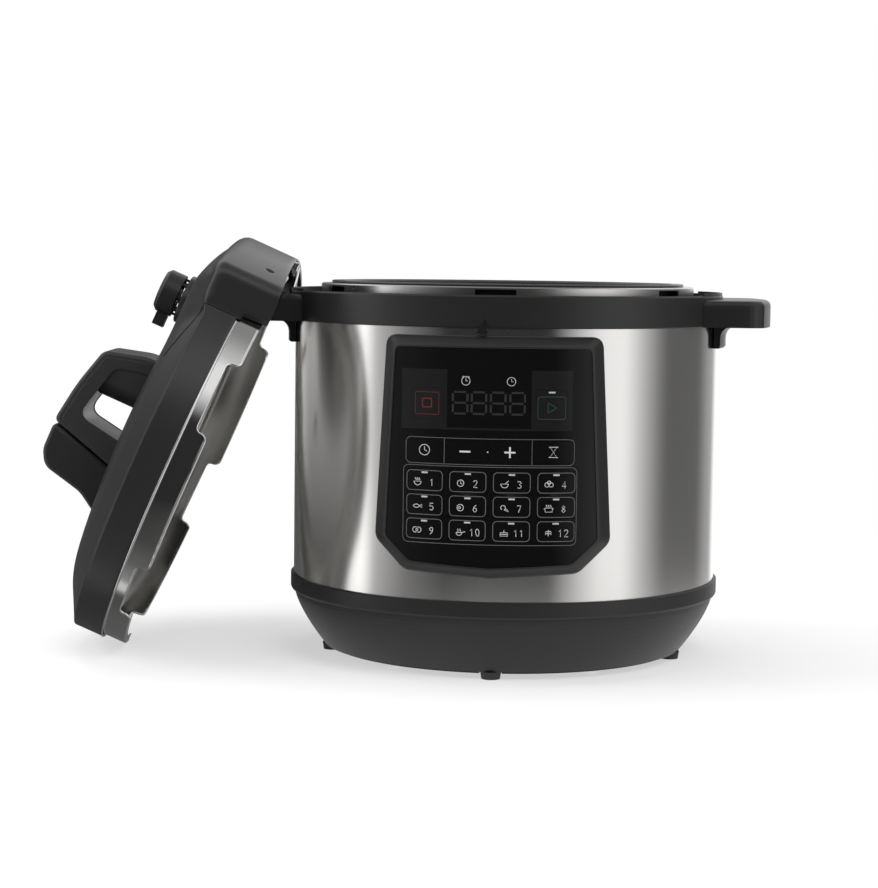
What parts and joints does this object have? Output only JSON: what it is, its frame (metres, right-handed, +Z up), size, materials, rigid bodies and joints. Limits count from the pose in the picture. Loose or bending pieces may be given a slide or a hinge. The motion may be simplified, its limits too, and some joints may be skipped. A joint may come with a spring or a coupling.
{
  "type": "electric pressure cooker",
  "caption": "Round electric pressure cooker in brushed steel and black plastic, its lid taken off and leaning against one side handle.",
  "frame": {"origin": "on the cooker's vertical axis at the height of the table", "axes": "+Z up, -Y the front with the control panel, +X towards the handle away from the lid"},
  "size_m": [0.5084, 0.3313, 0.2877],
  "materials": {
    "black_rubber": "matt rubber",
    "board": "circuit board",
    "brushed_steel": "vertically lit brushed stainless steel",
    "cast_aluminium": "cast aluminium",
    "clear_plastic": "frosted plastic",
    "display": "dark display block",
    "gloss_film": "glossy black printed film",
    "near_plastic": "fine satin moulded black",
    "polished_steel": "polished stainless steel",
    "pot_coating": "dark non-stick coating",
    "red_pin": "red painted pin",
    "satin_steel": "satin pressed stainless steel",
    "silicone": "translucent silicone",
    "soft_plastic": "satin charcoal",
    "zinc": "zinc plated steel"
  },
  "bodies": {
    "cooker": {"base_shell": "near_plastic", "bottom_cover": "near_plastic", "rubber_feet": "black_rubber", "cover_screws": "zinc", "steel_housing": "brushed_steel", "top_ring": "near_plastic", "left_handle": "near_plastic", "right_handle": "near_plastic", "handle_screws": "zinc", "steel_liner": "satin_steel", "heating_plate": "cast_aluminium", "heater_screws": "zinc", "sensor_sleeve": "zinc", "pressure_switch": "clear_plastic", "power_board": "board", "power_inlet": "near_plastic", "panel_bezel": "near_plastic", "panel_film": "gloss_film", "display_module": "display", "control_board": "board", "key_switches": "clear_plastic"},
    "inner_pot": {"inner_pot": "pot_coating"},
    "temperature_sensor": {"temperature_sensor": "cast_aluminium"},
    "drip_cup": {"drip_cup": "clear_plastic"},
    "lid": {"lid_cover": "near_plastic", "lid_pan": "polished_steel", "wing_plate": "soft_plastic", "arch_handle": "soft_plastic", "arch_cap": "near_plastic", "sealing_ring": "silicone", "seal_rack": "satin_steel", "lid_nut": "zinc", "exhaust_pipe": "zinc", "valve_shield": "satin_steel", "lid_screws": "zinc"},
    "steam_knob": {"steam_knob": "near_plastic"},
    "float_valve": {"float_valve": "red_pin", "float_gasket": "silicone"},
    "key_stop": {"key_stop": "gloss_film"},
    "key_start": {"key_start": "gloss_film"},
    "key_timer": {"key_timer": "gloss_film"},
    "key_minus": {"key_minus": "gloss_film"},
    "key_plus": {"key_plus": "gloss_film"},
    "key_cook_time": {"key_cook_time": "gloss_film"},
    "key_prog_01": {"key_prog_01": "gloss_film"},
    "key_prog_02": {"key_prog_02": "gloss_film"},
    "key_prog_03": {"key_prog_03": "gloss_film"},
    "key_prog_04": {"key_prog_04": "gloss_film"},
    "key_prog_05": {"key_prog_05": "gloss_film"},
    "key_prog_06": {"key_prog_06": "gloss_film"},
    "key_prog_07": {"key_prog_07": "gloss_film"},
    "key_prog_08": {"key_prog_08": "gloss_film"},
    "key_prog_09": {"key_prog_09": "gloss_film"},
    "key_prog_10": {"key_prog_10": "gloss_film"},
    "key_prog_11": {"key_prog_11": "gloss_film"},
    "key_prog_12": {"key_prog_12": "gloss_film"}
  },
  "joints": [
    {"name": "pot_lift", "type": "slide", "parent": "cooker", "child": "inner_pot", "axis": [0, 0, 1], "range_m": [0, 0.18]},
    {"name": "sensor_press", "type": "slide", "parent": "cooker", "child": "temperature_sensor", "axis": [0, 0, -1], "range_m": [0, 0.003], "stiffness_N_per_m": 600, "springref_m": -0.005},
    {"name": "drip_cup_slide", "type": "slide", "parent": "cooker", "child": "drip_cup", "axis": [0, 0, -1], "range_m": [0, 0.05]},
    {"name": "lid_lift", "type": "slide", "parent": "cooker", "child": "lid", "axis": [-0.9105, -0.0829, 0.4051], "range_m": [0, 0.08]},
    {"name": "steam_knob_turn", "type": "hinge", "parent": "lid", "child": "steam_knob", "pos_m": [-0.23369, -0.01046, 0.2464], "axis": [-0.9105, -0.0829, 0.4051], "range_deg": [-30, 30]},
    {"name": "float_rise", "type": "slide", "parent": "lid", "child": "float_valve", "axis": [-0.9105, -0.0829, 0.4051], "range_m": [0, 0.005]},
    {"name": "key_stop_press", "type": "slide", "parent": "cooker", "child": "key_stop", "axis": [0, 1, 0], "range_m": [0, 0.0005], "stiffness_N_per_m": 400, "springref_m": -0.001},
    {"name": "key_start_press", "type": "slide", "parent": "cooker", "child": "key_start", "axis": [0, 1, 0], "range_m": [0, 0.0005], "stiffness_N_per_m": 400, "springref_m": -0.001},
    {"name": "key_timer_press", "type": "slide", "parent": "cooker", "child": "key_timer", "axis": [0, 1, 0], "range_m": [0, 0.0005], "stiffness_N_per_m": 400, "springref_m": -0.001},
    {"name": "key_minus_press", "type": "slide", "parent": "cooker", "child": "key_minus", "axis": [0, 1, 0], "range_m": [0, 0.0005], "stiffness_N_per_m": 400, "springref_m": -0.001},
    {"name": "key_plus_press", "type": "slide", "parent": "cooker", "child": "key_plus", "axis": [0, 1, 0], "range_m": [0, 0.0005], "stiffness_N_per_m": 400, "springref_m": -0.001},
    {"name": "key_cook_time_press", "type": "slide", "parent": "cooker", "child": "key_cook_time", "axis": [0, 1, 0], "range_m": [0, 0.0005], "stiffness_N_per_m": 400, "springref_m": -0.001},
    {"name": "key_prog_01_press", "type": "slide", "parent": "cooker", "child": "key_prog_01", "axis": [0, 1, 0], "range_m": [0, 0.0005], "stiffness_N_per_m": 400, "springref_m": -0.001},
    {"name": "key_prog_02_press", "type": "slide", "parent": "cooker", "child": "key_prog_02", "axis": [0, 1, 0], "range_m": [0, 0.0005], "stiffness_N_per_m": 400, "springref_m": -0.001},
    {"name": "key_prog_03_press", "type": "slide", "parent": "cooker", "child": "key_prog_03", "axis": [0, 1, 0], "range_m": [0, 0.0005], "stiffness_N_per_m": 400, "springref_m": -0.001},
    {"name": "key_prog_04_press", "type": "slide", "parent": "cooker", "child": "key_prog_04", "axis": [0, 1, 0], "range_m": [0, 0.0005], "stiffness_N_per_m": 400, "springref_m": -0.001},
    {"name": "key_prog_05_press", "type": "slide", "parent": "cooker", "child": "key_prog_05", "axis": [0, 1, 0], "range_m": [0, 0.0005], "stiffness_N_per_m": 400, "springref_m": -0.001},
    {"name": "key_prog_06_press", "type": "slide", "parent": "cooker", "child": "key_prog_06", "axis": [0, 1, 0], "range_m": [0, 0.0005], "stiffness_N_per_m": 400, "springref_m": -0.001},
    {"name": "key_prog_07_press", "type": "slide", "parent": "cooker", "child": "key_prog_07", "axis": [0, 1, 0], "range_m": [0, 0.0005], "stiffness_N_per_m": 400, "springref_m": -0.001},
    {"name": "key_prog_08_press", "type": "slide", "parent": "cooker", "child": "key_prog_08", "axis": [0, 1, 0], "range_m": [0, 0.0005], "stiffness_N_per_m": 400, "springref_m": -0.001},
    {"name": "key_prog_09_press", "type": "slide", "parent": "cooker", "child": "key_prog_09", "axis": [0, 1, 0], "range_m": [0, 0.0005], "stiffness_N_per_m": 400, "springref_m": -0.001},
    {"name": "key_prog_10_press", "type": "slide", "parent": "cooker", "child": "key_prog_10", "axis": [0, 1, 0], "range_m": [0, 0.0005], "stiffness_N_per_m": 400, "springref_m": -0.001},
    {"name": "key_prog_11_press", "type": "slide", "parent": "cooker", "child": "key_prog_11", "axis": [0, 1, 0], "range_m": [0, 0.0005], "stiffness_N_per_m": 400, "springref_m": -0.001},
    {"name": "key_prog_12_press", "type": "slide", "parent": "cooker", "child": "key_prog_12", "axis": [0, 1, 0], "range_m": [0, 0.0005], "stiffness_N_per_m": 400, "springref_m": -0.001}
  ]
}
